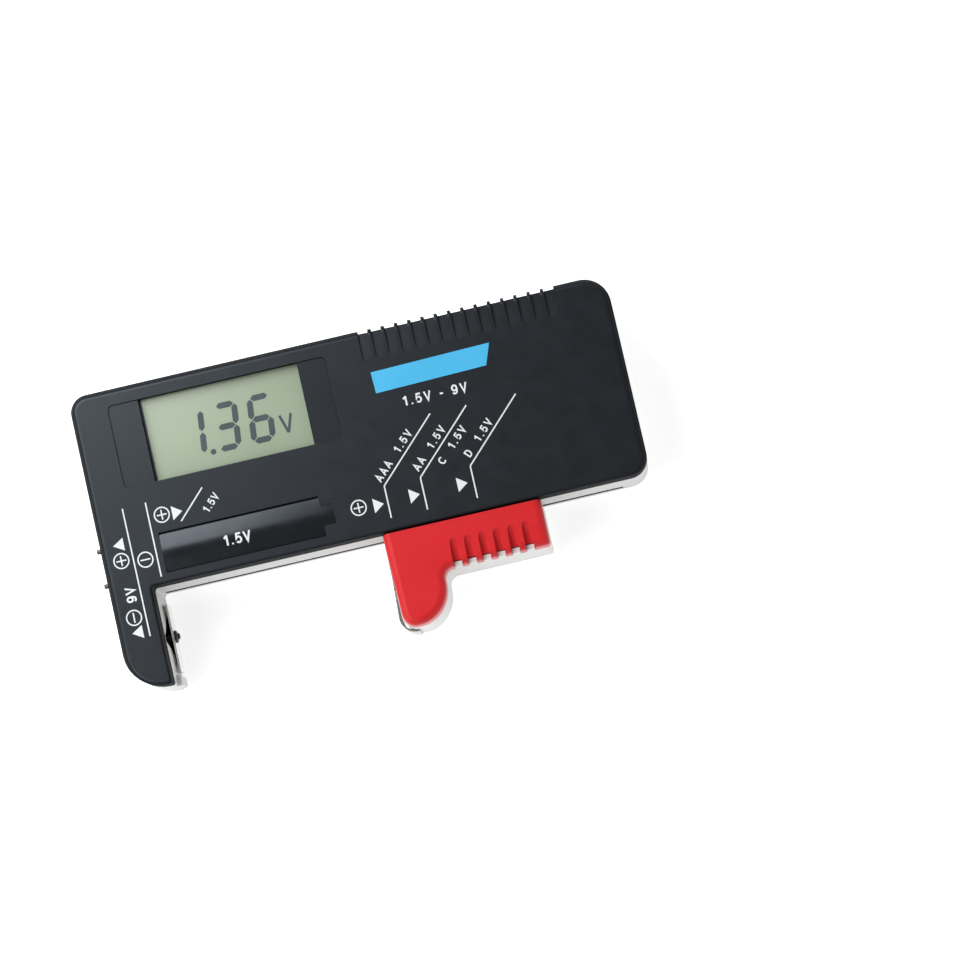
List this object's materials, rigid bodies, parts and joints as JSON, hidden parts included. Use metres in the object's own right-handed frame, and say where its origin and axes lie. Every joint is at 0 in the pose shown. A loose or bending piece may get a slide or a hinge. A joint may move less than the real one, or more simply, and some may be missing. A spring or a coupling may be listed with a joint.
{
  "type": "battery tester",
  "caption": "Handheld battery tester with a display, an arm with a fixed contact, and a red slider that closes on the cell.",
  "frame": {"origin": "middle of the outline, on the flat back", "axes": "+X along the housing towards the end away from the arm, +Y towards the ribbed edge, +Z out of the display"},
  "size_m": [0.1125, 0.061, 0.024],
  "materials": {
    "black_plastic": "fine texture, satin",
    "white_plastic": "satin moulded",
    "bezel_plastic": "satin",
    "red_plastic": "soft gloss",
    "display_glass": "polished, grey green",
    "elastomer": "matt",
    "board": "solder mask",
    "epoxy": "cured",
    "component": "lacquered",
    "screw_steel": "zinc plated",
    "contact_metal": "nickel plated",
    "wire_sleeve": "PVC"
  },
  "bodies": {
    "case": {"front_cover": "black_plastic", "middle_frame": "white_plastic", "rear_cover": "white_plastic", "display_bezel": "bezel_plastic", "lcd_panel": "display_glass", "zebra_strip": "elastomer", "circuit_board": "board", "controller_blob": "epoxy", "load_resistors": "component", "ceramic_capacitors": "component", "electrolytic_capacitor": "component", "calibration_trimmer": "component", "board_screws": "screw_steel", "case_screws": "screw_steel", "contact_rail": "contact_metal", "negative_contact": "contact_metal", "negative_button": "contact_metal", "nine_volt_positive_contact": "contact_metal", "nine_volt_negative_contact": "contact_metal", "negative_lead": "wire_sleeve", "rail_lead": "wire_sleeve", "nine_volt_positive_lead": "wire_sleeve", "nine_volt_negative_lead": "wire_sleeve"},
    "slider": {"slider_front": "red_plastic", "slider_back": "white_plastic", "slider_contact": "contact_metal", "slider_screws": "screw_steel"}
  },
  "joints": [
    {"name": "slide", "type": "slide", "parent": "case", "child": "slider", "axis": [1, 0, 0], "range_m": [-0.0435, 0.018]}
  ]
}
